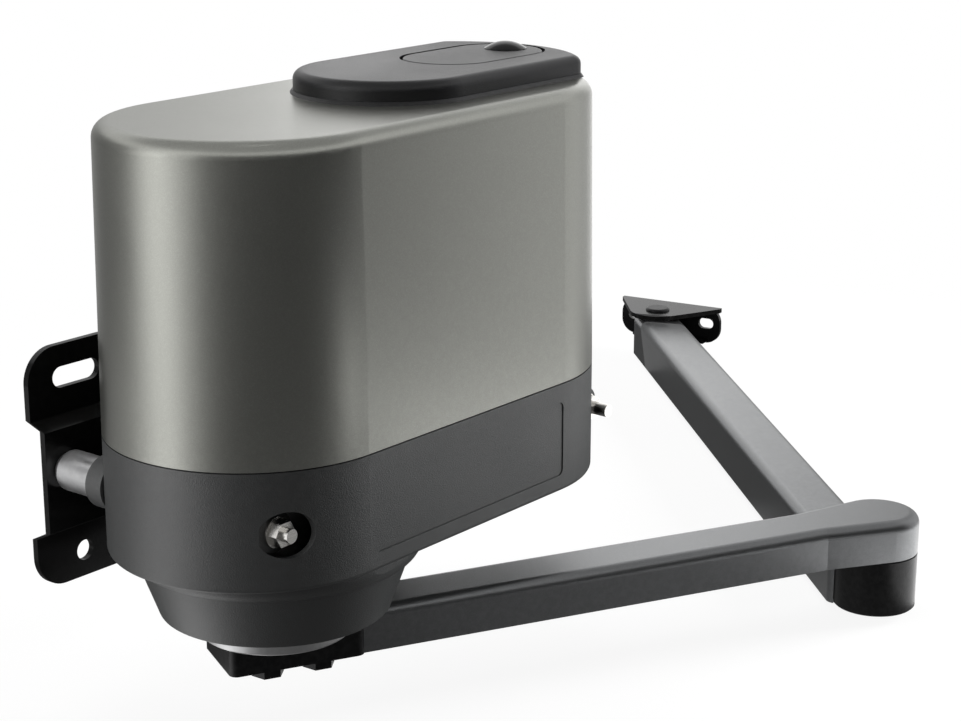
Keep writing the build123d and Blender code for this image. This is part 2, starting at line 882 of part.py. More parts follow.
# Lid of the gear casing
with BuildPart() as casing_lid:
    with BuildSketch(Plane.XY.offset(casing_top)):
        with Locations((out_x, out_y)):
            Circle(gear_room + casing_wall)
        with Locations((idler_x, idler_y)):
            Circle(wheel_room + casing_wall)
        with Locations(((out_x + motor_start - platform_thick) / 2, worm_y)):
            Rectangle(motor_start - platform_thick - out_x, worm_box_width)
        with Locations((motor_start - platform_thick + motor_radius / 2, worm_y)):
            Rectangle(motor_radius, 2 * (motor_radius + 2 * flange_margin), mode=Mode.SUBTRACT)
    extrude(amount=lid_thick)
    with BuildSketch(Plane.XY.offset(casing_top)):
        with Locations((out_x, out_y)):
            Circle(journal_radius + bush_wall + casing_wall)
    extrude(amount=-journal_length)
    with BuildSketch(Plane.XY.offset(lid_top)):
        with Locations((out_x, out_y)):
            Circle(journal_radius + bush_wall)
    extrude(amount=-(lid_thick + journal_length), mode=Mode.SUBTRACT)
    with BuildSketch(Plane.XY.offset(lid_top)):
        with Locations((idler_x, idler_y)):
            Circle(hub_radius + bush_wall)
        with Locations(*lid_screw_places):
            Circle(lid_screw_radius)
    extrude(amount=-lid_thick, mode=Mode.SUBTRACT)
    with BuildSketch(Plane.XY.offset(lid_top)):
        with Locations((guide_x, guide_y)):
            Circle(guide_radius)
    extrude(amount=guide_height)

casing_lid.part.label = "casing_lid"
export_step(casing_lid.part, "parts/casing_lid.step")

with BuildPart() as lid_screws:
    with BuildSketch(Plane.XY.offset(lid_top)):
        with Locations(*lid_screw_places):
            Circle(lid_screw_radius)
    extrude(amount=-lid_thick)
    with BuildSketch(Plane.XY.offset(lid_top)):
        with Locations(*lid_screw_places):
            Circle(lid_screw_head)
        with Locations(*lid_screw_places):
            RegularPolygon(lid_screw_radius, 6, major_radius=False, mode=Mode.SUBTRACT)
    extrude(amount=lid_screw_head_height)

lid_screws.part.label = "lid_screws"
export_step(lid_screws.part, "parts/lid_screws.step")

# Output shaft with its gear, bushes, seal and ring
with BuildPart() as output_shaft:
    for low, high, radius in (
        (ring_bottom, hub_top, journal_radius),
        (hub_top, gear_z, shaft_radius),
        (gear_z, gear_z + gear_width, gear_seat_radius),
        (gear_z + gear_width, shaft_top, journal_radius),
    ):
        with BuildSketch(Plane.XY.offset(low)):
            with Locations((out_x, out_y)):
                Circle(radius)
        extrude(amount=high - low)

output_shaft.part.label = "output_shaft"
export_step(output_shaft.part, "parts/output_shaft.step")

with BuildPart() as output_gear:
    with BuildSketch(Plane.XY.offset(gear_z)):
        with Locations(Location((out_x, out_y, 0), (0, 0, mesh_angle))):
            Circle(gear_pitch - 1.25 * gear_module)
            Circle(gear_seat_radius, mode=Mode.SUBTRACT)
            with PolarLocations(0, gear_teeth):
                add(gear_tooth.sketch)
    extrude(amount=gear_width)

output_gear.part.label = "output_gear"
export_step(output_gear.part, "parts/output_gear.step")

with BuildPart() as output_bushes:
    for low, high, radius in (
        (cone_bottom + neck_end_gap + seal_thick + seal_gap, gear_z - gear_clearance, shaft_radius),
        (casing_top - journal_length, lid_top, journal_radius),
    ):
        with BuildSketch(Plane.XY.offset(low)):
            with Locations((out_x, out_y)):
                Circle(radius + bush_wall)
                Circle(radius + running_fit, mode=Mode.SUBTRACT)
        extrude(amount=high - low)

output_bushes.part.label = "output_bushes"
export_step(output_bushes.part, "parts/output_bushes.step")

with BuildPart() as output_seal:
    with BuildSketch(Plane.XY.offset(cone_bottom + neck_end_gap)):
        with Locations((out_x, out_y)):
            Circle(seal_radius)
            Circle(shaft_radius + running_fit, mode=Mode.SUBTRACT)
    extrude(amount=seal_thick)

output_seal.part.label = "output_seal"
export_step(output_seal.part, "parts/output_seal.step")

motor_arm_plane = arm_plane(motor_arm_angle, out_x, out_y, 0)
root_bottom = arm_bottom + root_rise
bolt_places = [
    (root_shift + along, side)
    for along in (-bolt_along, bolt_along)
    for side in (-bolt_across, bolt_across)
]

with BuildPart() as output_flange:
    with BuildSketch(motor_arm_plane.offset(ring_bottom)):
        Circle(ring_radius)
    extrude(amount=ring_height)
    chamfer(output_flange.faces().sort_by(Axis.Z)[0].edges(), ring_chamfer)
    with BuildSketch(motor_arm_plane.offset(ring_top)):
        Circle(neck_radius - hub_side_gap)
    extrude(amount=hub_top - ring_top)
    with BuildSketch(motor_arm_plane.offset(ring_bottom)):
        Circle(journal_radius)
    extrude(amount=hub_top - ring_bottom, mode=Mode.SUBTRACT)
    with BuildSketch(motor_arm_plane.offset(ring_bottom)):
        with Locations(*bolt_places):
            Circle(bolt_radius)
    extrude(amount=bolt_depth, mode=Mode.SUBTRACT)

output_flange.part.label = "output_flange"
export_step(output_flange.part, "parts/output_flange.step")

# Block that ties the motor arm to the ring
with BuildPart() as arm_root:
    with BuildSketch(motor_arm_plane.offset(root_bottom)):
        with Locations((root_shift, 0)):
            RectangleRounded(root_length, root_width, root_round)
    extrude(amount=ring_bottom - root_bottom)
    with BuildSketch(motor_arm_plane.offset(arm_bottom)):
        with Locations(*bolt_places):
            Circle(bolt_radius)
    extrude(amount=ring_bottom - arm_bottom, mode=Mode.SUBTRACT)

arm_root.part.label = "arm_root"
export_step(arm_root.part, "parts/arm_root.step")

with BuildPart() as root_bolts:
    with BuildSketch(motor_arm_plane.offset(root_bottom)):
        with Locations(*bolt_places):
            Circle(bolt_radius)
    extrude(amount=ring_bottom + bolt_depth - root_bottom)
    with BuildSketch(motor_arm_plane.offset(root_bottom)):
        with Locations(*bolt_places):
            Circle(bolt_head_radius)
    extrude(amount=-bolt_flange)
    with BuildSketch(motor_arm_plane.offset(root_bottom)):
        with Locations(*bolt_places):
            RegularPolygon(bolt_head_across / 2, 6, major_radius=False)
    extrude(amount=-bolt_head)

root_bolts.part.label = "root_bolts"
export_step(root_bolts.part, "parts/root_bolts.step")

# Motor arm: a tube that widens to a boss at the elbow
with BuildPart() as motor_arm:
    with BuildSketch(motor_arm_plane.offset(arm_bottom)):
        with Locations((motor_arm_length, 0)):
            Circle(knuckle_radius)
        with Locations((motor_arm_length - boss_blend, 0)):
            Circle(motor_arm_width / 2)
        make_hull()
        with Locations(((root_start + motor_arm_length - boss_blend) / 2, 0)):
            Rectangle(motor_arm_length - boss_blend - root_start, motor_arm_width)
    extrude(amount=motor_arm_height)
    fillet(motor_arm.faces().sort_by(Axis.Z)[-1].edges(), tube_round)
    with BuildSketch(motor_arm_plane.offset(arm_bottom + tube_wall)):
        with Locations(((motor_arm_length - boss_blend) / 2, 0)):
            Rectangle(motor_arm_length - boss_blend, motor_arm_width - 2 * tube_wall)
    extrude(amount=motor_arm_height - 2 * tube_wall, mode=Mode.SUBTRACT)
    with BuildSketch(motor_arm_plane.offset(arm_bottom)):
        with Locations((motor_arm_length, 0)):
            Circle(pin_radius + 2)
    extrude(amount=pin_grip, mode=Mode.SUBTRACT)

motor_arm.part.label = "motor_arm"
export_step(motor_arm.part, "parts/motor_arm.step")

# Elbow pin pressed up into the motor arm, with its end washer and screw
elbow_base = arm_plane(0, elbow_x, elbow_y, 0)

with BuildPart() as elbow_pin:
    with BuildSketch(elbow_base.offset(arm_bottom)):
        Circle(pin_radius + 2)
    extrude(amount=pin_grip)
    with BuildSketch(elbow_base.offset(arm_bottom)):
        Circle(pin_radius)
    extrude(amount=-(arm_bottom - gate_bottom - washer_recess - 0.3))

elbow_pin.part.label = "elbow_pin"
export_step(elbow_pin.part, "parts/elbow_pin.step")

with BuildPart() as elbow_screw:
    with BuildSketch(elbow_base.offset(gate_bottom + washer_recess - 0.3)):
        Circle(washer_radius)
    extrude(amount=-2)
    with BuildSketch(elbow_base.offset(gate_bottom + washer_recess - 2.3)):
        RegularPolygon(5, 6, major_radius=False)
    extrude(amount=-3)

elbow_screw.part.label = "elbow_screw"
export_step(elbow_screw.part, "parts/elbow_screw.step")

# Gate arm with its separate knuckle
gate_arm_plane = arm_plane(gate_arm_angle, elbow_x, elbow_y, 0)

with BuildPart() as elbow_knuckle:
    with BuildSketch(elbow_base.offset(gate_bottom)):
        Circle(knuckle_radius)
    extrude(amount=gate_arm_height)
    chamfer(elbow_knuckle.faces().sort_by(Axis.Z)[0].edges(), 1)
    with BuildSketch(elbow_base.offset(gate_bottom)):
        Circle(pin_radius + elbow_bush_wall)
    extrude(amount=gate_arm_height, mode=Mode.SUBTRACT)
    with BuildSketch(elbow_base.offset(gate_bottom)):
        Circle(washer_radius + 2)
    extrude(amount=washer_recess, mode=Mode.SUBTRACT)

elbow_knuckle.part.label = "elbow_knuckle"
export_step(elbow_knuckle.part, "parts/elbow_knuckle.step")

with BuildPart() as elbow_bushes:
    half_length = (gate_arm_height - washer_recess) / 2 - 2
    for low in (gate_bottom + washer_recess, gate_top - half_length):
        with BuildSketch(elbow_base.offset(low)):
            Circle(pin_radius + elbow_bush_wall)
            Circle(pin_radius + running_fit, mode=Mode.SUBTRACT)
        extrude(amount=half_length)

elbow_bushes.part.label = "elbow_bushes"
export_step(elbow_bushes.part, "parts/elbow_bushes.step")

gate_arm_side = Plane(
    origin=(
        *along_arm(gate_arm_angle, elbow_x, elbow_y, pin_along + gate_end, gate_arm_offset),
        gate_bottom,
    ),
    x_dir=gate_arm_plane.x_dir,
    z_dir=-gate_arm_plane.y_dir,
)

with BuildPart() as gate_arm:
    with BuildSketch(gate_arm_plane.offset(gate_bottom)):
        with Locations(((pin_along + gate_end) / 2, gate_arm_offset)):
            Rectangle(pin_along + gate_end, gate_arm_width)
    extrude(amount=gate_arm_height)
    fillet(gate_arm.edges().filter_by(Axis.Z), end_round)
    tube_edges = gate_arm.edges().filter_by(GeomType.LINE).group_by(SortBy.LENGTH)[-1]
    fillet(tube_edges.group_by(Axis.Z)[-1], tube_round)
    with BuildSketch(gate_arm_plane.offset(gate_bottom + tube_wall)):
        with Locations(((pin_along - gate_plug) / 2, gate_arm_offset)):
            Rectangle(pin_along - gate_plug, gate_arm_width - 2 * tube_wall)
    extrude(amount=gate_arm_height - 2 * tube_wall, mode=Mode.SUBTRACT)
    with BuildSketch(gate_arm_plane.offset(gate_bottom)):
        Circle(knuckle_radius)
        with Locations((pin_along, gate_arm_offset)):
            Circle(pin_radius + elbow_bush_wall)
    extrude(amount=gate_arm_height, mode=Mode.SUBTRACT)

    with BuildSketch(gate_arm_side) as bevel:
        with BuildLine():
            Polyline((0, 0), (-bevel_length, 0), (0, bevel_height), close=True)
        make_face()
    extrude(amount=gate_arm_width, both=True, mode=Mode.SUBTRACT)

gate_arm.part.label = "gate_arm"
export_step(gate_arm.part, "parts/gate_arm.step")

# Gate bracket: a pressed plate with a nose round the pin
gate_pin_plane = arm_plane(gate_normal_angle, pin_x, pin_y, 0)
gate_plate_top = gate_top + gate_top_gap + gate_plate
gate_plate_bottom = gate_plate_top - gate_plate_height

gate_normal = (cos(radians(gate_normal_angle)), sin(radians(gate_normal_angle)), 0)
gate_side = (-gate_normal[1], gate_normal[0], 0)
gate_face_x = pin_x + gate_plate_reach * gate_normal[0]
gate_face_y = pin_y + gate_plate_reach * gate_normal[1]
gate_back_plane = Plane(
    origin=(gate_face_x, gate_face_y, gate_plate_top - gate_plate_height / 2),
    x_dir=gate_side,
    z_dir=gate_normal,
)
gate_face_plane = Plane(
    origin=(gate_face_x, gate_face_y, gate_slot_z),
    x_dir=gate_side,
    z_dir=gate_normal,
)

with BuildPart() as gate_pin_bush:
    with BuildSketch(gate_pin_plane.offset(gate_bottom)):
        Circle(pin_radius + elbow_bush_wall)
        Circle(pin_radius + running_fit, mode=Mode.SUBTRACT)
    extrude(amount=gate_arm_height)

gate_pin_bush.part.label = "gate_pin_bush"
export_step(gate_pin_bush.part, "parts/gate_pin_bush.step")

with BuildPart() as gate_bracket:
    with BuildSketch(gate_pin_plane.offset(gate_plate_top)):
        Circle(gate_nose_radius)
        with Locations((gate_plate_reach - gate_plate / 2, 0)):
            Rectangle(gate_plate, gate_plate_width)
        make_hull()
    extrude(amount=-gate_plate)
    with BuildSketch(gate_back_plane) as back_outline:
        Rectangle(gate_plate_width, gate_plate_height)
        fillet(back_outline.vertices().group_by(Axis.Z)[0], gate_corner)
    extrude(amount=-gate_plate)
    with BuildSketch(gate_pin_plane.offset(gate_plate_bottom)):
        with Locations((gate_plate_reach - (gate_plate + gate_lip) / 2, 0)):
            Rectangle(gate_plate + gate_lip, gate_plate_width - 2 * gate_corner)
    extrude(amount=gate_plate)
    with BuildSketch(gate_pin_plane.offset(gate_plate_top)):
        Circle(pin_radius)
    extrude(amount=-gate_plate, mode=Mode.SUBTRACT)

    with BuildSketch(gate_face_plane):
        with Locations((-gate_slot_spacing / 2, 0), (gate_slot_spacing / 2, 0)):
            SlotOverall(gate_slot_length, gate_slot_width)
        Circle(gate_slot_width / 2)
    extrude(amount=-gate_plate - 1, mode=Mode.SUBTRACT)

gate_bracket.part.label = "gate_bracket"
export_step(gate_bracket.part, "parts/gate_bracket.step")

with BuildPart() as gate_pin:
    with BuildSketch(gate_pin_plane.offset(gate_plate_top)):
        Circle(pin_radius)
    extrude(amount=-(gate_plate_top - gate_bottom + pin_tail))
    with BuildSketch(gate_pin_plane.offset(gate_plate_top)):
        Circle(pin_head_radius)
    extrude(amount=pin_head_height)
    fillet(gate_pin.faces().sort_by(Axis.Z)[-1].edges(), pin_head_height - 0.4)
    with BuildSketch(gate_pin_plane.offset(gate_bottom - 0.3)):
        Circle(pin_radius + 1)
        Circle(clip_groove_radius, mode=Mode.SUBTRACT)
    extrude(amount=-clip_thick, mode=Mode.SUBTRACT)

gate_pin.part.label = "gate_pin"
export_step(gate_pin.part, "parts/gate_pin.step")

with BuildPart() as pin_clip:
    with BuildSketch(gate_pin_plane.offset(gate_bottom - 0.3)):
        Circle(pin_radius + clip_rim)
        Circle(clip_groove_radius, mode=Mode.SUBTRACT)
        with Locations((-pin_radius, 0)):
            Rectangle(2 * pin_radius, clip_groove_radius, mode=Mode.SUBTRACT)
    extrude(amount=-clip_thick)

pin_clip.part.label = "pin_clip"
export_step(pin_clip.part, "parts/pin_clip.step")

with BuildPart() as pin_washer:
    with BuildSketch(gate_pin_plane.offset(gate_top + gate_top_gap)):
        Circle(pin_radius + washer_rim)
        Circle(pin_radius, mode=Mode.SUBTRACT)
    extrude(amount=-(gate_top_gap - 0.3))

pin_washer.part.label = "pin_washer"
export_step(pin_washer.part, "parts/pin_washer.step")

# Idler: shaft with its pinion, worm wheel and bushes
idler_plane = arm_plane(0, idler_x, idler_y, 0)

with BuildPart() as idler_shaft:
    with BuildSketch(idler_plane.offset(floor_z + 1)):
        Circle(idler_radius)
    extrude(amount=idler_top - floor_z - 1)
    with BuildSketch(idler_plane.offset(gear_z)):
        with Locations(Location((0, 0, 0), (0, 0, mesh_angle + 180 + 180 / pinion_teeth))):
            Circle(pinion_pitch - 1.25 * gear_module)
            with PolarLocations(0, pinion_teeth):
                add(pinion_tooth.sketch)
    extrude(amount=gear_width)

idler_shaft.part.label = "idler_shaft"
export_step(idler_shaft.part, "parts/idler_shaft.step")

wheel_tooth_half = pi * wheel_module / 4 - 0.2

with BuildPart() as worm_wheel:
    with BuildSketch(idler_plane.offset(wheel_z)):
        Circle(wheel_pitch - 1.25 * wheel_module)
        with PolarLocations(0, wheel_teeth):
            with Locations((wheel_pitch - 0.25 * wheel_module, 0)):
                Trapezoid(2 * wheel_tooth_half + 1.6, 2.5 * wheel_module, 70, rotation=-90)
    extrude(amount=wheel_width)
    with BuildSketch(idler_plane.offset(wheel_z + wheel_width)):
        Circle(hub_radius)
    extrude(amount=lid_top + hub_proud - wheel_z - wheel_width)
    with BuildSketch(idler_plane.offset(wheel_z)):
        Circle(idler_radius)
    extrude(amount=lid_top + hub_proud - wheel_z, mode=Mode.SUBTRACT)

worm_wheel.part.label = "worm_wheel"
export_step(worm_wheel.part, "parts/worm_wheel.step")

with BuildPart() as idler_bushes:
    with BuildSketch(idler_plane.offset(floor_z + 1)):
        Circle(idler_radius + bush_wall)
        Circle(idler_radius + running_fit, mode=Mode.SUBTRACT)
    extrude(amount=gear_z - gear_clearance - floor_z - 1)
    with BuildSketch(idler_plane.offset(casing_top - 4)):
        Circle(hub_radius + bush_wall)
        Circle(hub_radius + running_fit, mode=Mode.SUBTRACT)
    extrude(amount=lid_top - casing_top + 4)

idler_bushes.part.label = "idler_bushes"
export_step(idler_bushes.part, "parts/idler_bushes.step")

# Clutch sleeve on the idler, and the fork that lifts it
groove_z = sleeve_z + (sleeve_height - sleeve_groove) / 2

with BuildPart() as clutch_sleeve:
    with BuildSketch(idler_plane.offset(sleeve_z)):
        Circle(sleeve_radius)
        Circle(idler_radius + running_fit, mode=Mode.SUBTRACT)
    extrude(amount=sleeve_height)
    with BuildSketch(idler_plane.offset(groove_z)):
        Circle(sleeve_radius + 1)
        Circle(groove_radius, mode=Mode.SUBTRACT)
    extrude(amount=sleeve_groove, mode=Mode.SUBTRACT)

clutch_sleeve.part.label = "clutch_sleeve"
export_step(clutch_sleeve.part, "parts/clutch_sleeve.step")

fork_z = groove_z + (sleeve_groove - fork_thick) / 2
crank_end_x = hinge_x + crank_length * cos(radians(crank_angle + lever_swing))
rod_x = (crank_x + crank_end_x) / 2
slot_radius = crank_pin_radius + eye_clearance
eye_radius = slot_radius + eye_wall
rod_y = crank_y - lug_thick / 2 - 1 - rod_width / 2

with BuildPart() as release_fork:
    with BuildSketch(Plane.XY.offset(fork_z)):
        with Locations((idler_x, idler_y)):
            Circle(sleeve_radius + fork_reach)
        with Locations((guide_x, guide_y)):
            Circle(guide_radius + guide_wall)
        make_hull()
        with Locations((idler_x, idler_y)):
            Circle(groove_radius + fork_clearance, mode=Mode.SUBTRACT)
        with Locations((idler_x - sleeve_radius, idler_y)):
            Rectangle(2 * sleeve_radius, 2 * (groove_radius + fork_clearance), mode=Mode.SUBTRACT)
    extrude(amount=fork_thick)
    with BuildSketch(Plane.XY.offset(fork_z)):
        with Locations((guide_x, guide_y)):
            Circle(fork_width / 2)
        with Locations((rod_x, rod_y)):
            Circle(fork_width / 2)
        make_hull()
    extrude(amount=fork_thick)
    with BuildSketch(Plane.XY.offset(fork_z)):
        with Locations((guide_x, guide_y)):
            Circle(guide_radius + running_fit)
    extrude(amount=fork_thick, mode=Mode.SUBTRACT)
    with BuildSketch(Plane.XY.offset(fork_z)):
        with Locations((rod_x, rod_y)):
            Rectangle(rod_width, rod_width)
    extrude(amount=crank_z - slot_radius - 0.5 - fork_z)
    with BuildSketch(Plane.XZ.offset(-rod_y - rod_width / 2)):
        with Locations((rod_x, crank_z)):
            SlotCenterToCenter(crank_end_x - crank_x, 2 * eye_radius)
            SlotCenterToCenter(crank_end_x - crank_x, 2 * slot_radius, mode=Mode.SUBTRACT)
    extrude(amount=rod_width)

release_fork.part.label = "release_fork"
export_step(release_fork.part, "parts/release_fork.step")

# Rotor: worm shaft with armature and commutator
rotor_plane = Plane(origin=(0, worm_y, worm_z), x_dir=(0, 1, 0), z_dir=(1, 0, 0))
worm_left = idler_x - worm_length / 2
worm_core_radius = worm_pitch_radius - wheel_module - 0.4
lead = pi * wheel_module
motor_end = motor_start + motor_length

thread_radius = worm_core_radius - 0.4

with BuildPart() as worm_thread:
    with BuildLine() as thread_line:
        Helix(pitch=lead, height=thread_turns * lead, radius=thread_radius)
    with BuildSketch(Plane(origin=(thread_radius, 0, 0), z_dir=thread_line.line % 0, x_dir=(1, 0, 0))):
        with BuildLine():
            Polyline((0, -thread_root / 2), (thread_height, -thread_tip / 2),
                     (thread_height, thread_tip / 2), (0, thread_root / 2), close=True)
        make_face()
    sweep(path=thread_line.line, is_frenet=True)

thread_place = rotor_plane.offset(idler_x - thread_turns * lead / 2).location
thread_solid = thread_place * worm_thread.part

with BuildPart() as worm_shaft:
    with BuildSketch(rotor_plane.offset(worm_left - tail_bearing_length)):
        Circle(worm_shaft_radius)
    extrude(amount=motor_end - bell_floor - worm_left + tail_bearing_length)
    with BuildSketch(rotor_plane.offset(worm_left)):
        Circle(worm_core_radius)
    extrude(amount=worm_length)
    add(thread_solid)

worm_shaft.part.label = "worm_shaft"
export_step(worm_shaft.part, "parts/worm_shaft.step")

armature_start = motor_start + armature_offset

with BuildPart() as armature:
    with BuildSketch(rotor_plane.offset(armature_start)):
        Circle(armature_radius)
        Circle(worm_shaft_radius, mode=Mode.SUBTRACT)
        with PolarLocations(armature_radius - slot_depth, slot_count):
            Rectangle(3 * slot_depth, slot_mouth, mode=Mode.SUBTRACT)
    extrude(amount=armature_length)
    with BuildSketch(rotor_plane.offset(armature_start + armature_length)):
        Circle(commutator_radius)
        Circle(worm_shaft_radius, mode=Mode.SUBTRACT)
    extrude(amount=commutator_length)

armature.part.label = "armature"
export_step(armature.part, "parts/armature.step")

with BuildPart() as worm_bearings:
    for start, length, outer in (
        (worm_left - bearing_gap - tail_bearing_length, tail_bearing_length, tail_bearing_radius),
        (motor_start - 2 * bearing_length, bearing_length, front_bearing_radius),
        (motor_end - bell_floor - bearing_length, bearing_length, rear_bearing_radius),
    ):
        with BuildSketch(rotor_plane.offset(start)):
            Circle(outer)
            Circle(worm_shaft_radius + running_fit, mode=Mode.SUBTRACT)
        extrude(amount=length)

worm_bearings.part.label = "worm_bearings"
export_step(worm_bearings.part, "parts/worm_bearings.step")

with BuildPart() as motor_can:
    with BuildSketch(rotor_plane.offset(motor_start)):
        Circle(motor_radius)
        Circle(motor_radius - motor_wall, mode=Mode.SUBTRACT)
    extrude(amount=motor_length - bell_depth)
    with BuildSketch(rotor_plane.offset(motor_start)):
        Circle(motor_radius)
        Circle(rear_bearing_radius + seat_wall, mode=Mode.SUBTRACT)
    extrude(amount=motor_wall)

motor_can.part.label = "motor_can"
export_step(motor_can.part, "parts/motor_can.step")

with BuildPart() as motor_magnets:
    with BuildSketch(rotor_plane.offset(armature_start - magnet_overhang)):
        Circle(motor_radius - motor_wall)
        Circle(motor_radius - motor_wall - magnet_thick, mode=Mode.SUBTRACT)
        Rectangle(magnet_gap, 2 * motor_radius, mode=Mode.SUBTRACT)
    extrude(amount=armature_length + 2 * magnet_overhang)

motor_magnets.part.label = "motor_magnets"
export_step(motor_magnets.part, "parts/motor_magnets.step")

with BuildPart() as motor_end_bell:
    with BuildSketch(rotor_plane.offset(motor_end - bell_depth)):
        Circle(motor_radius)
        Circle(motor_radius - bell_wall, mode=Mode.SUBTRACT)
    extrude(amount=bell_depth)
    with BuildSketch(rotor_plane.offset(motor_end)):
        Circle(motor_radius)
    extrude(amount=-bell_floor)
    with BuildSketch(rotor_plane.offset(motor_end - bell_floor)):
        Circle(rear_bearing_radius + seat_wall)
        Circle(rear_bearing_radius, mode=Mode.SUBTRACT)
    extrude(amount=-bearing_length)
    fillet(motor_end_bell.faces().sort_by(Axis.X)[-1].edges(), bell_edge)

motor_end_bell.part.label = "motor_end_bell"
export_step(motor_end_bell.part, "parts/motor_end_bell.step")

brush_start = armature_start + armature_length + (commutator_length - brush_width) / 2

with BuildPart() as brushes:
    for side in (-1, 1):
        with BuildSketch(rotor_plane.offset(brush_start)):
            with Locations((0, side * (commutator_radius + bearing_gap + brush_length / 2))):
                Rectangle(brush_height, brush_length)
        extrude(amount=brush_width)

brushes.part.label = "brushes"
export_step(brushes.part, "parts/brushes.step")

# Carrier plate, circuit board, transformer and terminals
with BuildPart() as board_carrier:
    with BuildSketch(Plane.XZ.offset(-carrier_y)):
        with Locations(((carrier_left + carrier_right) / 2, (carrier_foot + carrier_top) / 2)):
            Rectangle(carrier_right - carrier_left, carrier_top - carrier_foot)
    extrude(amount=carrier_thick)
    with BuildSketch(Plane.XZ.offset(-carrier_y + carrier_thick)):
        with Locations(*spacer_places):
            Circle(spacer_radius)
    extrude(amount=board_gap)

board_carrier.part.label = "board_carrier"
export_step(board_carrier.part, "parts/board_carrier.step")

board_face = -carrier_y + carrier_thick + board_gap

with BuildPart() as control_board:
    with BuildSketch(Plane.XZ.offset(board_face)):
        with Locations(((board_left + board_right) / 2, (board_bottom + board_top) / 2)):
            Rectangle(board_right - board_left, board_top - board_bottom)
    extrude(amount=board_thick)
    with BuildSketch(Plane.XZ.offset(board_face + board_thick)):
        with Locations((board_left + 22, board_top - 24), (board_left + 46, board_top - 24)):
            Rectangle(18, 26)
    extrude(amount=16)
    with BuildSketch(Plane.XZ.offset(board_face + board_thick)):
        with Locations((board_right - 16, board_top - 22)):
            Circle(9)
    extrude(amount=24)

control_board.part.label = "control_board"
export_step(control_board.part, "parts/control_board.step")

with BuildPart() as terminal_block:
    with BuildSketch(Plane.XZ.offset(board_face + board_thick)):
        with Locations(((board_left + board_right) / 2, board_bottom + 12)):
            Rectangle(terminal_width, terminal_height)
    extrude(amount=terminal_depth)
    with BuildSketch(Plane.XZ.offset(board_face + board_thick + terminal_depth)):
        with Locations(((board_left + board_right) / 2, board_bottom + 12)):
            with GridLocations(terminal_width / 8, 1, 8, 1):
                Circle(2)
    extrude(amount=-3, mode=Mode.SUBTRACT)

terminal_block.part.label = "terminal_block"
export_step(terminal_block.part, "parts/terminal_block.step")

with BuildPart() as transformer:
    with BuildSketch(Plane.XZ.offset(-carrier_y + carrier_thick)):
        with Locations((coil_x, coil_z)):
            Circle(coil_radius)
            Circle(coil_hole, mode=Mode.SUBTRACT)
    extrude(amount=coil_depth)
    fillet(transformer.faces().sort_by(Axis.Y)[0].edges(), 4)

transformer.part.label = "transformer"
export_step(transformer.part, "parts/transformer.step")

# Cam on the output shaft and the two limit switches beside it
cam_z = lid_top + 1.0

with BuildPart() as limit_cam:
    with BuildSketch(motor_arm_plane.offset(cam_z)):
        Circle(cam_radius - cam_step)
        with Locations((cam_radius / 2, 0)):
            Rectangle(cam_radius, 8)
        Circle(cam_radius, mode=Mode.INTERSECT)
        Circle(journal_radius, mode=Mode.SUBTRACT)
    extrude(amount=cam_thick)

limit_cam.part.label = "limit_cam"
export_step(limit_cam.part, "parts/limit_cam.step")

with BuildPart() as limit_switches:
    for angle in (100, 215):
        spot = arm_plane(angle, out_x, out_y, lid_top)
        with BuildSketch(spot):
            with Locations((cam_radius + 3 + switch_depth / 2, 0)):
                Rectangle(switch_depth, switch_length)
        extrude(amount=switch_height)
        with BuildSketch(spot.offset(1)):
            with Locations((cam_radius + 1.7, 0)):
                Rectangle(2.6, 4)
        extrude(amount=cam_thick)

limit_switches.part.label = "limit_switches"
export_step(limit_switches.part, "parts/limit_switches.step")

# Cable gland under the base
with BuildPart() as cable_gland:
    with BuildSketch(Plane.XY.offset(floor_z)):
        with Locations((gland_x, gland_y)):
            Circle(gland_radius)
    extrude(amount=-shell_wall - gland_length)
    for height, thickness in ((base_bottom, -gland_nut), (floor_z, gland_inner_nut)):
        with BuildSketch(Plane.XY.offset(height)):
            with Locations((gland_x, gland_y)):
                RegularPolygon(gland_hex, 6, major_radius=False)
        extrude(amount=thickness)
    with BuildSketch(Plane.XY.offset(floor_z + gland_inner_nut)):
        with Locations((gland_x, gland_y)):
            Circle(gland_bore)
    extrude(amount=-shell_wall - gland_length - gland_inner_nut, mode=Mode.SUBTRACT)

cable_gland.part.label = "cable_gland"
export_step(cable_gland.part, "parts/cable_gland.step")
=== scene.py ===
import json
import math
import bpy
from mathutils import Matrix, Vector


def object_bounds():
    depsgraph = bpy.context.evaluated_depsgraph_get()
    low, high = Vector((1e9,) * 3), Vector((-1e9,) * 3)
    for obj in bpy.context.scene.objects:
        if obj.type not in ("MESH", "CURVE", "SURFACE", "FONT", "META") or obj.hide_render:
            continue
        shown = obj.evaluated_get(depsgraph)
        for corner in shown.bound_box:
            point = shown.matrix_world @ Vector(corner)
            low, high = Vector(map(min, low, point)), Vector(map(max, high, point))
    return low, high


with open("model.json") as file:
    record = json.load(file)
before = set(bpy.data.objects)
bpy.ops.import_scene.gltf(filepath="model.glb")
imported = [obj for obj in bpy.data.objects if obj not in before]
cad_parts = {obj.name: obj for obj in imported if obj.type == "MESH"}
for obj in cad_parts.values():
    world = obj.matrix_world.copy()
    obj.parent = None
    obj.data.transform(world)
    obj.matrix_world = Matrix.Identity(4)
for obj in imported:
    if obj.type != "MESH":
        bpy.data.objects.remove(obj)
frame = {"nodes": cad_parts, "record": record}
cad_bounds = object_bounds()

scene = bpy.context.scene
nodes = frame["nodes"]

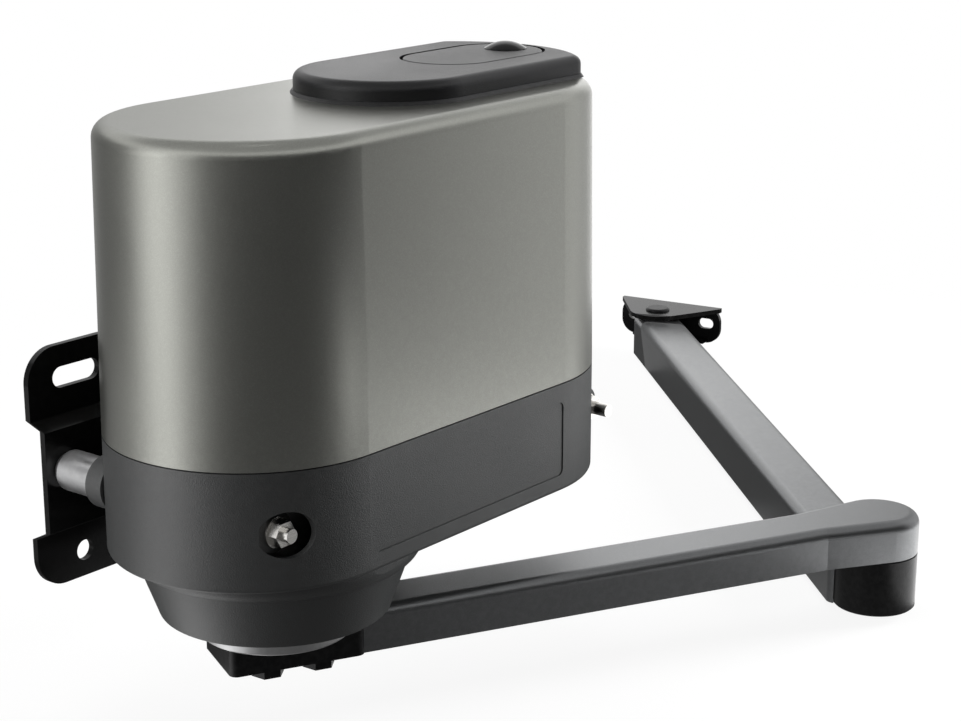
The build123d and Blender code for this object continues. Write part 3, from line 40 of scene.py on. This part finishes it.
# Camera at the photograph's viewing angle, in metres and degrees
CAMERA_PLACE = (-0.9093, -0.9376, 0.4017)
CAMERA_HEADING = -51.212
CAMERA_PITCH = 15.905
FOCAL_PIXELS = 2150.0
IMAGE_WIDTH = 961.0
SENSOR_MILLIMETRES = 36.0
NEAREST_SEEN = 0.05

camera_data = bpy.data.cameras.new("camera")
camera_data.sensor_width = SENSOR_MILLIMETRES
camera_data.lens = FOCAL_PIXELS / IMAGE_WIDTH * SENSOR_MILLIMETRES
camera_data.clip_start = NEAREST_SEEN
camera = bpy.data.objects.new("camera", camera_data)
camera.location = CAMERA_PLACE
camera.rotation_euler = (math.radians(90.0 - CAMERA_PITCH), 0.0, math.radians(CAMERA_HEADING))
scene.collection.objects.link(camera)
scene.camera = camera
scene.view_settings.view_transform = "Standard"


# Shader node helpers

# The Mix node's colour sockets share their names with its others, so they go by number
MIX_COLOUR_INPUTS = (6, 7)
MIX_COLOUR_OUTPUT = 2


def new_group(name, inputs, outputs):
    """A shader node group with named numbers in, each with its default, and named numbers out."""
    group = bpy.data.node_groups.new(name, "ShaderNodeTree")
    for label, default in inputs:
        socket = group.interface.new_socket(name=label, in_out="INPUT", socket_type="NodeSocketFloat")
        socket.default_value = default
    for label in outputs:
        group.interface.new_socket(name=label, in_out="OUTPUT", socket_type="NodeSocketFloat")
    enter = group.nodes.new("NodeGroupInput")
    leave = group.nodes.new("NodeGroupOutput")
    return group, enter, leave


def place(tree, kind, **values):
    """A node of that kind. A value named in_Something sets that input, any other a setting."""
    node = tree.nodes.new(kind)
    for key, value in values.items():
        if key.startswith("in_"):
            node.inputs[key[3:].replace("_", " ")].default_value = value
        else:
            setattr(node, key, value)
    return node


def math_node(tree, operation, first, second, clamp=False):
    """A Math node. Each operand is a number or a socket."""
    node = tree.nodes.new("ShaderNodeMath")
    node.operation = operation
    node.use_clamp = clamp
    for index, operand in enumerate((first, second)):
        if isinstance(operand, (int, float)):
            node.inputs[index].default_value = operand
        else:
            tree.links.new(operand, node.inputs[index])
    return node.outputs[0]


def spread(tree, value, low, high, out_low=0.0, out_high=1.0):
    """A clamped Map Range node."""
    node = tree.nodes.new("ShaderNodeMapRange")
    node.clamp = True
    tree.links.new(value, node.inputs["Value"])
    for label, number in (("From Min", low), ("From Max", high), ("To Min", out_low), ("To Max", out_high)):
        node.inputs[label].default_value = number
    return node.outputs["Result"]


def mix_colour(tree, factor, first, second):
    """A colour Mix node. Each operand is a colour or a socket."""
    node = tree.nodes.new("ShaderNodeMix")
    node.data_type = "RGBA"
    tree.links.new(factor, node.inputs["Factor"])
    for index, operand in zip(MIX_COLOUR_INPUTS, (first, second)):
        if isinstance(operand, tuple):
            node.inputs[index].default_value = operand
        else:
            tree.links.new(operand, node.inputs[index])
    return node.outputs[MIX_COLOUR_OUTPUT]


def colour(parts, shade=1.0):
    """An opaque colour from its three parts, darkened or lightened by the shade."""
    return (parts[0] * shade, parts[1] * shade, parts[2] * shade, 1.0)


def object_coordinates(tree):
    """The piece's own coordinates."""
    return tree.nodes.new("ShaderNodeTexCoord").outputs["Object"]


def split_coordinates(tree):
    """The piece's own coordinates as X, Y and Z."""
    split = tree.nodes.new("ShaderNodeSeparateXYZ")
    tree.links.new(object_coordinates(tree), split.inputs["Vector"])
    return split.outputs


# Effects that several finishes share, with scales in cells per metre

FINE_GRAIN_RATIO = 1.7
NOISE_MIDDLE = 0.5


def make_moulded_grain():
    """Spark-eroded grain of moulded plastic: a height, and a mask of its hollows, which the plastic darkens
    as painted shade.
    """
    group, enter, leave = new_group("moulded_grain", (("Scale", 1400.0),), ("Height", "Hollows"))
    vector = object_coordinates(group)
    cells = place(group, "ShaderNodeTexVoronoi", feature="SMOOTH_F1")
    fine = place(group, "ShaderNodeTexNoise", in_Detail=2.0)
    for texture in (cells, fine):
        group.links.new(vector, texture.inputs["Vector"])
    group.links.new(enter.outputs["Scale"], cells.inputs["Scale"])
    fine_scale = math_node(group, "MULTIPLY", enter.outputs["Scale"], FINE_GRAIN_RATIO)
    group.links.new(fine_scale, fine.inputs["Scale"])
    height = math_node(group, "ADD", cells.outputs["Distance"], fine.outputs["Fac"])
    group.links.new(height, leave.inputs["Height"])
    group.links.new(spread(group, height, low=0.55, high=1.1), leave.inputs["Hollows"])
    return group


def make_cloudy():
    """Slow variation over a surface, as from handling, around zero."""
    group, enter, leave = new_group("cloudy", (("Scale", 18.0), ("Strength", 0.05)), ("Value",))
    noise = place(group, "ShaderNodeTexNoise", in_Detail=3.0, in_Roughness=0.55)
    group.links.new(object_coordinates(group), noise.inputs["Vector"])
    group.links.new(enter.outputs["Scale"], noise.inputs["Scale"])
    centred = math_node(group, "SUBTRACT", noise.outputs["Fac"], NOISE_MIDDLE)
    group.links.new(math_node(group, "MULTIPLY", centred, enter.outputs["Strength"]), leave.inputs["Value"])
    return group


def make_edge_wear():
    """A mask of convex edges, broken up by noise."""
    group, enter, leave = new_group("edge_wear", (("Amount", 0.5), ("Scale", 260.0)), ("Mask",))
    geometry = place(group, "ShaderNodeNewGeometry")
    noise = place(group, "ShaderNodeTexNoise", in_Detail=4.0)
    group.links.new(object_coordinates(group), noise.inputs["Vector"])
    group.links.new(enter.outputs["Scale"], noise.inputs["Scale"])
    edge = spread(group, geometry.outputs["Pointiness"], low=0.52, high=0.6)
    patches = spread(group, noise.outputs["Fac"], low=0.42, high=0.62)
    broken = math_node(group, "MULTIPLY", edge, patches)
    group.links.new(math_node(group, "MULTIPLY", broken, enter.outputs["Amount"]), leave.inputs["Mask"])
    return group


def make_metal_flake():
    """Tiny flakes of metallic paint: a brightness mask and a height."""
    group, enter, leave = new_group("metal_flake", (("Scale", 3200.0),), ("Sparkle", "Height"))
    cells = place(group, "ShaderNodeTexVoronoi", feature="F1")
    group.links.new(object_coordinates(group), cells.inputs["Vector"])
    group.links.new(enter.outputs["Scale"], cells.inputs["Scale"])
    split = place(group, "ShaderNodeSeparateColor")
    group.links.new(cells.outputs["Color"], split.inputs["Color"])
    group.links.new(split.outputs["Red"], leave.inputs["Sparkle"])
    group.links.new(split.outputs["Green"], leave.inputs["Height"])
    return group


def make_fine_lines():
    """Fine lines that run level round a piece, as left by turning, drawing or casting."""
    group, enter, leave = new_group("fine_lines", (("Across", 900.0), ("Along", 12.0)), ("Lines",))
    axes = split_coordinates(group)
    join = place(group, "ShaderNodeCombineXYZ")
    for axis, density in (("X", "Along"), ("Y", "Along"), ("Z", "Across")):
        scaled = math_node(group, "MULTIPLY", axes[axis], enter.outputs[density])
        group.links.new(scaled, join.inputs[axis])
    noise = place(group, "ShaderNodeTexNoise", in_Scale=1.0, in_Detail=3.0)
    group.links.new(join.outputs["Vector"], noise.inputs["Vector"])
    group.links.new(noise.outputs["Fac"], leave.inputs["Lines"])
    return group


moulded_grain = make_moulded_grain()
cloudy = make_cloudy()
edge_wear = make_edge_wear()
metal_flake = make_metal_flake()
fine_lines = make_fine_lines()


def use(tree, group, **values):
    """A shared effect placed in a material, with its own values."""
    node = tree.nodes.new("ShaderNodeGroup")
    node.node_tree = group
    for key, value in values.items():
        node.inputs[key].default_value = value
    return node.outputs


# Finishes, with scales in cells per metre, depths in metres and linear colours

# How much darker the grain's hollows are painted: painted shade, not a colour of the plastic
PAINTED_HOLLOW_SHADE = 0.8
WORN_FLAKE_SHADE = 1.5
FLAKE_DEPTH = 0.00002
LINE_DEPTH = 0.00003
SMOOTHEST_METAL = 0.08


def start_material(name, **shader_values):
    """A material with a Principled shader, and its node tree."""
    material = bpy.data.materials.new(name)
    material.use_nodes = True
    tree = material.node_tree
    shader = tree.nodes["Principled BSDF"]
    for key, value in shader_values.items():
        shader.inputs[key].default_value = value
    return material, tree, shader


def bump(tree, shader, height, depth):
    """Feeds a height into the shader's normal."""
    node = place(tree, "ShaderNodeBump", in_Distance=depth, in_Strength=1.0)
    tree.links.new(height, node.inputs["Height"])
    tree.links.new(node.outputs["Normal"], shader.inputs["Normal"])


def textured_plastic(name, base, worn, roughness, grain_scale, grain_depth, wear, ior=1.5):
    """Moulded plastic with a fine grain whose hollows are painted darker as painted shade, and slightly
    paler edges.
    """
    material, tree, shader = start_material(name, Roughness=roughness, IOR=ior)
    grain = use(tree, moulded_grain, Scale=grain_scale)
    cloud = use(tree, cloudy, Strength=0.12)
    edges = use(tree, edge_wear, Amount=wear)
    # Painted shade: the grain's hollows are made darker than the plastic's own colour
    body = mix_colour(tree, grain["Hollows"], colour(base), colour(base, PAINTED_HOLLOW_SHADE))
    tree.links.new(mix_colour(tree, edges["Mask"], body, colour(worn)), shader.inputs["Base Color"])
    tree.links.new(math_node(tree, "ADD", cloud["Value"], roughness), shader.inputs["Roughness"])
    bump(tree, shader, grain["Height"], grain_depth)
    return material


def metallic_paint(name, base, flake, roughness, metallic, flake_scale, wear):
    """Satin paint with metal flakes in it."""
    material, tree, shader = start_material(name, Roughness=roughness, Metallic=metallic)
    flakes = use(tree, metal_flake, Scale=flake_scale)
    cloud = use(tree, cloudy, Strength=0.06)
    edges = use(tree, edge_wear, Amount=wear)
    sparkle = spread(tree, flakes["Sparkle"], low=0.55, high=1.0)
    body = mix_colour(tree, sparkle, colour(base), colour(flake))
    worn = mix_colour(tree, edges["Mask"], body, colour(flake, WORN_FLAKE_SHADE))
    tree.links.new(worn, shader.inputs["Base Color"])
    tree.links.new(math_node(tree, "ADD", cloud["Value"], roughness), shader.inputs["Roughness"])
    bump(tree, shader, flakes["Height"], FLAKE_DEPTH)
    return material


def worked_metal(name, base, dark, roughness, across=1500.0, along=40.0):
    """Bare or plated metal with fine lines from its making."""
    material, tree, shader = start_material(name, Roughness=roughness, Metallic=1.0)
    lines = use(tree, fine_lines, Across=across, Along=along)
    cloud = use(tree, cloudy, Scale=60.0, Strength=0.3)
    tree.links.new(mix_colour(tree, lines["Lines"], colour(base), colour(dark)), shader.inputs["Base Color"])
    rough = math_node(tree, "ADD", cloud["Value"], roughness)
    tree.links.new(math_node(tree, "MAXIMUM", rough, SMOOTHEST_METAL), shader.inputs["Roughness"])
    bump(tree, shader, lines["Lines"], LINE_DEPTH)
    return material


PAINTS = {
    "cover_grey": dict(
        base=(0.335, 0.338, 0.31), flake=(0.4, 0.403, 0.375),
        roughness=0.3, metallic=1.0, flake_scale=3600.0, wear=0.1,
    ),
    "arm_grey": dict(
        base=(0.18, 0.184, 0.188), flake=(0.23, 0.234, 0.238),
        roughness=0.3, metallic=0.9, flake_scale=5200.0, wear=0.12,
    ),
}
PLASTICS = {
    "base_plastic": dict(
        base=(0.031, 0.033, 0.033), worn=(0.065, 0.065, 0.065),
        roughness=0.42, grain_scale=1500.0, grain_depth=0.00012, wear=0.25, ior=1.85,
    ),
    "cap_black": dict(
        base=(0.005, 0.005, 0.006), worn=(0.04, 0.04, 0.04),
        roughness=0.36, grain_scale=1500.0, grain_depth=0.0001, wear=0.3, ior=1.45,
    ),
    "dome_black": dict(
        base=(0.003, 0.003, 0.0035), worn=(0.02, 0.02, 0.02),
        roughness=0.14, grain_scale=2500.0, grain_depth=0.000008, wear=0.2, ior=1.35,
    ),
    "bracket_black": dict(
        base=(0.004, 0.004, 0.004), worn=(0.03, 0.03, 0.03),
        roughness=0.2, grain_scale=1500.0, grain_depth=0.000003, wear=0.15, ior=1.35,
    ),
    "arm_black": dict(
        base=(0.004, 0.004, 0.0045), worn=(0.03, 0.03, 0.03),
        roughness=0.33, grain_scale=1200.0, grain_depth=0.00004, wear=0.3, ior=1.35,
    ),
    "rubber": dict(
        base=(0.012, 0.012, 0.012), worn=(0.03, 0.03, 0.03),
        roughness=0.75, grain_scale=900.0, grain_depth=0.00005, wear=0.1,
    ),
    "magnet": dict(
        base=(0.06, 0.06, 0.065), worn=(0.1, 0.1, 0.1),
        roughness=0.6, grain_scale=900.0, grain_depth=0.00005, wear=0.2,
    ),
    "board_green": dict(
        base=(0.03, 0.16, 0.07), worn=(0.08, 0.2, 0.1),
        roughness=0.4, grain_scale=500.0, grain_depth=0.00003, wear=0.1,
    ),
    "terminal_green": dict(
        base=(0.05, 0.3, 0.14), worn=(0.1, 0.35, 0.2),
        roughness=0.4, grain_scale=900.0, grain_depth=0.00003, wear=0.1,
    ),
    "coil_yellow": dict(
        base=(0.5, 0.34, 0.05), worn=(0.6, 0.45, 0.1),
        roughness=0.5, grain_scale=300.0, grain_depth=0.0001, wear=0.1,
    ),
    "gland_grey": dict(
        base=(0.16, 0.165, 0.17), worn=(0.25, 0.25, 0.25),
        roughness=0.45, grain_scale=1400.0, grain_depth=0.00006, wear=0.2,
    ),
}
METALS = {
    "zinc": dict(base=(0.84, 0.83, 0.81), dark=(0.66, 0.64, 0.6), roughness=0.22),
    "cast_aluminium": dict(
        base=(0.62, 0.62, 0.62), dark=(0.48, 0.48, 0.49), roughness=0.38, across=300.0, along=300.0,
    ),
    "steel": dict(base=(0.56, 0.56, 0.57), dark=(0.42, 0.42, 0.43), roughness=0.28),
    "bronze": dict(base=(0.62, 0.42, 0.2), dark=(0.45, 0.3, 0.14), roughness=0.4),
    "lock_metal": dict(base=(0.7, 0.7, 0.7), dark=(0.6, 0.6, 0.6), roughness=0.15),
}

finishes = {}
for make, recipes in ((metallic_paint, PAINTS), (textured_plastic, PLASTICS), (worked_metal, METALS)):
    for name, values in recipes.items():
        finishes[name] = make(name, **values)

node_slots = {item["node"]: item["material_slot"] for item in frame["record"]["subparts"]}

for name, obj in nodes.items():
    obj.data.materials.clear()
    obj.data.materials.append(finishes[node_slots[name]])


# Stage: white surroundings, floor, glowing cards that paint reflections on the object, and lamps, in metres

BODY_Y = -0.12
FLOOR_Z = cad_bounds[0][2] - 0.001
FLOOR_X = 0.1
FLOOR_SIZE = 14.0
WORLD_LIGHT = 0.16
PAPER_GREY = (0.14, 0.14, 0.14)
BLACK = (0.0, 0.0, 0.0)
WHITE = (1.0, 1.0, 1.0)
PAPER_GLOW = 0.9
SHADOW_END = 0.45
WHITE_START = 1.0


def seen_directly(tree):
    """One for camera, transmission and glossy rays, and zero for the light on the object."""
    paths = place(tree, "ShaderNodeLightPath").outputs
    seen = math_node(tree, "ADD", paths["Is Camera Ray"], paths["Is Transmission Ray"])
    return math_node(tree, "ADD", seen, paths["Is Glossy Ray"], clamp=True)


def make_world():
    """Plain white where it is seen, and dim as a light."""
    world = bpy.data.worlds.new("studio")
    world.use_nodes = True
    tree = world.node_tree
    background = tree.nodes["Background"]
    background.inputs["Color"].default_value = colour(WHITE)
    strength = spread(tree, seen_directly(tree), 0.0, 1.0, out_low=WORLD_LIGHT)
    tree.links.new(strength, background.inputs["Strength"])
    return world


def empty_material(name):
    """A material without a shader, its node tree and the socket that takes one."""
    material = bpy.data.materials.new(name)
    material.use_nodes = True
    tree = material.node_tree
    tree.nodes.remove(tree.nodes["Principled BSDF"])
    return material, tree, tree.nodes["Material Output"].inputs["Surface"]


def floor_paper():
    """White paper that keeps a soft shadow near the object and fades to plain white."""
    material, tree, surface = empty_material("floor_paper")
    distance = place(tree, "ShaderNodeVectorMath", operation="LENGTH")
    tree.links.new(object_coordinates(tree), distance.inputs[0])
    far = spread(tree, distance.outputs["Value"], SHADOW_END, WHITE_START)
    paper = place(tree, "ShaderNodeBsdfDiffuse")
    glow = place(tree, "ShaderNodeEmission")
    level = spread(tree, far, 0.0, 1.0, out_low=PAPER_GLOW)
    seen_level = math_node(tree, "MULTIPLY", seen_directly(tree), level)
    tree.links.new(seen_level, glow.inputs["Strength"])
    shade = mix_colour(tree, far, colour(PAPER_GREY), colour(BLACK))
    tree.links.new(shade, paper.inputs["Color"])
    both = place(tree, "ShaderNodeAddShader")
    tree.links.new(paper.outputs["BSDF"], both.inputs[0])
    tree.links.new(glow.outputs["Emission"], both.inputs[1])
    tree.links.new(both.outputs["Shader"], surface)
    return material


def stage_piece(name, points, faces, material, centre):
    """A mesh that belongs to the stage and not to the object."""
    mesh = bpy.data.meshes.new(name)
    mesh.from_pydata(points, [], faces)
    mesh.materials.append(material)
    obj = bpy.data.objects.new(name, mesh)
    obj.location = centre
    scene.collection.objects.link(obj)
    return obj


scene.world = make_world()
half = FLOOR_SIZE / 2
floor_corners = [(-half, -half, 0), (half, -half, 0), (half, half, 0), (-half, half, 0)]
stage_piece("floor", floor_corners, [(0, 1, 2, 3)], floor_paper(), (FLOOR_X, BODY_Y, FLOOR_Z))

# Painted reflections: graded glowing cards on the floor, round the object and overhead. Only reflections see
# them; they cast no light and no shadow, and their bright and dark bands paint highlights and shade into
# what the object mirrors.
# Each level is (heading in degrees, brightness), each profile is (radius, height above the floor).
NEAR_PROFILE = ((0.02, 0.002), (0.38, 0.002))
FAR_PROFILE = ((0.38, 0.002), (1.1, 0.002))
SKIRT_PROFILE = ((0.7, 0.0), (0.74, 0.06))
WALL_PROFILE = ((0.74, 0.06), (0.77, 0.62))
CEILING_PROFILE = ((0.05, 1.5), (1.1, 1.3))
# Brightness of the painted reflections by heading: low levels paint dark reflections, high levels paint
# highlights
NEAR_REFLECTION_LEVELS = (
    (0, 0.12), (30, 0.1), (95, 0.1), (135, 0.12), (147, 0.6), (156, 1.4), (162, 1.5), (170, 1.2),
    (184, 0.3), (200, 0.12), (250, 0.1), (262, 0.16), (300, 0.22), (325, 0.3), (345, 0.2), (360, 0.12),
)
FAR_REFLECTION_LEVELS = (
    (0, 0.12), (30, 0.1), (135, 0.3), (150, 1.0), (160, 1.5), (170, 1.2), (184, 0.3), (200, 0.12),
    (262, 0.15), (300, 0.3), (311, 1.9), (330, 2.3), (345, 0.5), (360, 0.12),
)
SKIRT_REFLECTION_LEVELS = (
    (0, 0.3), (100, 0.2), (150, 0.9), (166, 1.4), (180, 0.4), (200, 0.1), (262, 0.15), (274, 0.5),
    (284, 1.6), (293, 2.4), (299, 0.6), (306, 0.2), (318, 0.4), (330, 1.0), (352, 0.3),
)
WALL_REFLECTION_LEVELS = (
    (0, 0.8), (20, 1.7), (33, 1.0), (39, 1.1), (43, 1.9), (47, 1.0), (54, 0.7), (75, 0.4),
    (100, 0.2), (138, 0.22), (150, 0.9), (158, 1.5), (166, 1.5), (177, 0.6), (190, 0.2), (212, 0.1),
    (300, 0.02), (306, 0.06), (312, 0.42), (318, 0.7), (324, 1.0), (332, 1.0), (352, 0.6),
)
CEILING_REFLECTION_LEVELS = ((0, 0.42), (360, 0.42))
CARD_STEP = 6
FULL_TURN = 360


def painted_reflection_glow(name, levels):
    """Painted reflection light that changes with the heading from the card's own centre."""
    material, tree, surface = empty_material(name)
    axes = split_coordinates(tree)
    turn = math_node(tree, "ARCTAN2", axes["Y"], axes["X"])
    turns = math_node(tree, "ADD", math_node(tree, "DIVIDE", turn, 2 * math.pi), 1.0)
    ramp = place(tree, "ShaderNodeValToRGB")
    top = max(level for heading, level in levels)
    stops = ramp.color_ramp.elements
    ready_stops = len(stops)
    for index, (heading, level) in enumerate(levels):
        share = heading / FULL_TURN
        stop = stops[index] if index < ready_stops else stops.new(share)
        stop.position = share
        stop.color = colour(WHITE, level / top)
    tree.links.new(math_node(tree, "FRACT", turns, 0.5), ramp.inputs["Fac"])
    glow = place(tree, "ShaderNodeEmission", in_Strength=top)
    tree.links.new(ramp.outputs["Color"], glow.inputs["Color"])
    tree.links.new(glow.outputs["Emission"], surface)
    return material


def make_reflection_card(name, profile, levels):
    """A card of painted reflection swept once round the object."""
    headings = range(0, FULL_TURN + 1, CARD_STEP)
    points = []
    for heading in headings:
        turn = math.radians(heading)
        points += [(radius * math.cos(turn), radius * math.sin(turn), height) for radius, height in profile]
    faces = [(first, first + 2, first + 3, first + 1) for first in range(0, len(points) - 2, 2)]
    card = stage_piece(name, points, faces, painted_reflection_glow(name, levels), (0.0, BODY_Y, FLOOR_Z))
    # Hidden from the camera, from diffuse light and from shadows, so the card only paints reflections
    card.visible_camera = False
    card.visible_diffuse = False
    card.visible_shadow = False
    card.visible_transmission = False


# Painted reflections: each card's glow stands for light or shade that the object mirrors
make_reflection_card("near_painted_reflection", NEAR_PROFILE, NEAR_REFLECTION_LEVELS)
make_reflection_card("far_painted_reflection", FAR_PROFILE, FAR_REFLECTION_LEVELS)
make_reflection_card("skirt_painted_reflection", SKIRT_PROFILE, SKIRT_REFLECTION_LEVELS)
make_reflection_card("wall_painted_reflection", WALL_PROFILE, WALL_REFLECTION_LEVELS)
make_reflection_card("ceiling_painted_reflection", CEILING_PROFILE, CEILING_REFLECTION_LEVELS)

OBJECT_CENTRE = Vector((0.0, BODY_Y, 0.08))


def softbox(name, heading, height, distance, size, power):
    """An area lamp that looks at the object from a heading in degrees."""
    lamp = bpy.data.lights.new(name, "AREA")
    lamp.shape = "RECTANGLE"
    lamp.size = size[0]
    lamp.size_y = size[1]
    lamp.energy = power
    obj = bpy.data.objects.new(name, lamp)
    turn = math.radians(heading)
    obj.location = OBJECT_CENTRE + Vector((math.cos(turn) * distance, math.sin(turn) * distance, height))
    aim = OBJECT_CENTRE - obj.location
    obj.rotation_euler = aim.to_track_quat("-Z", "Y").to_euler()
    scene.collection.objects.link(obj)
    return obj


softbox("left_box", heading=163.0, height=0.3, distance=1.8, size=(0.6, 1.0), power=12.0)
# The right box lights the sides but is hidden from reflections, so only the painted reflection cards shape
# what they mirror
right_box = softbox("right_box", heading=329.0, height=0.45, distance=2.4, size=(0.9, 1.4), power=80.0)
right_box.visible_glossy = False
softbox("rear_box", heading=41.0, height=0.62, distance=2.0, size=(0.55, 0.6), power=0.5)
softbox("top_box", heading=100.0, height=2.2, distance=0.5, size=(1.6, 1.6), power=20.0)
